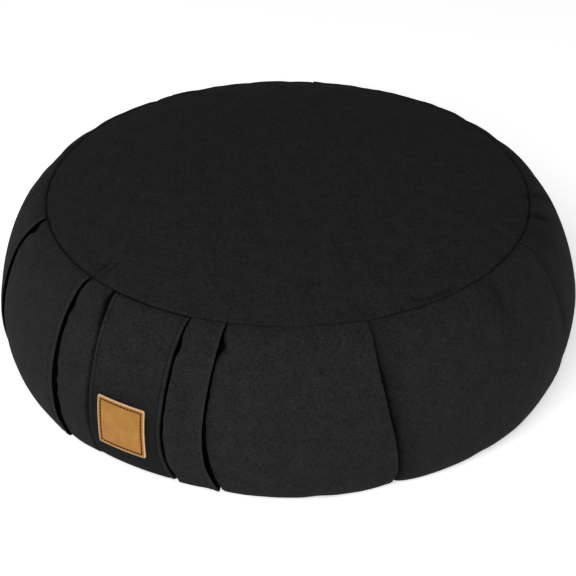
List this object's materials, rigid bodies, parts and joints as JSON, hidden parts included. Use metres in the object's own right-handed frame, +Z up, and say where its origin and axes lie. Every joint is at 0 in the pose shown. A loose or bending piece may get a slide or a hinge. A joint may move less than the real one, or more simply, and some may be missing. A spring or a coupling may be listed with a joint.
{
  "type": "round meditation cushion",
  "caption": "Low round floor cushion of pleated black cotton, filled firm, with a crowned top, a flat base, a carry strap and a blank leather patch.",
  "frame": {"origin": "on the floor, under the middle of the cushion", "axes": "+Z up, the strap and patch facing -Y"},
  "size_m": [0.4061, 0.4027, 0.13],
  "materials": {
    "black_cotton": "matte plain-weave cotton",
    "tan_leather": "smooth, satin"
  },
  "bodies": {
    "root": {"cushion": "black_cotton", "carry_strap": "black_cotton", "patch": "tan_leather"}
  },
  "joints": []
}
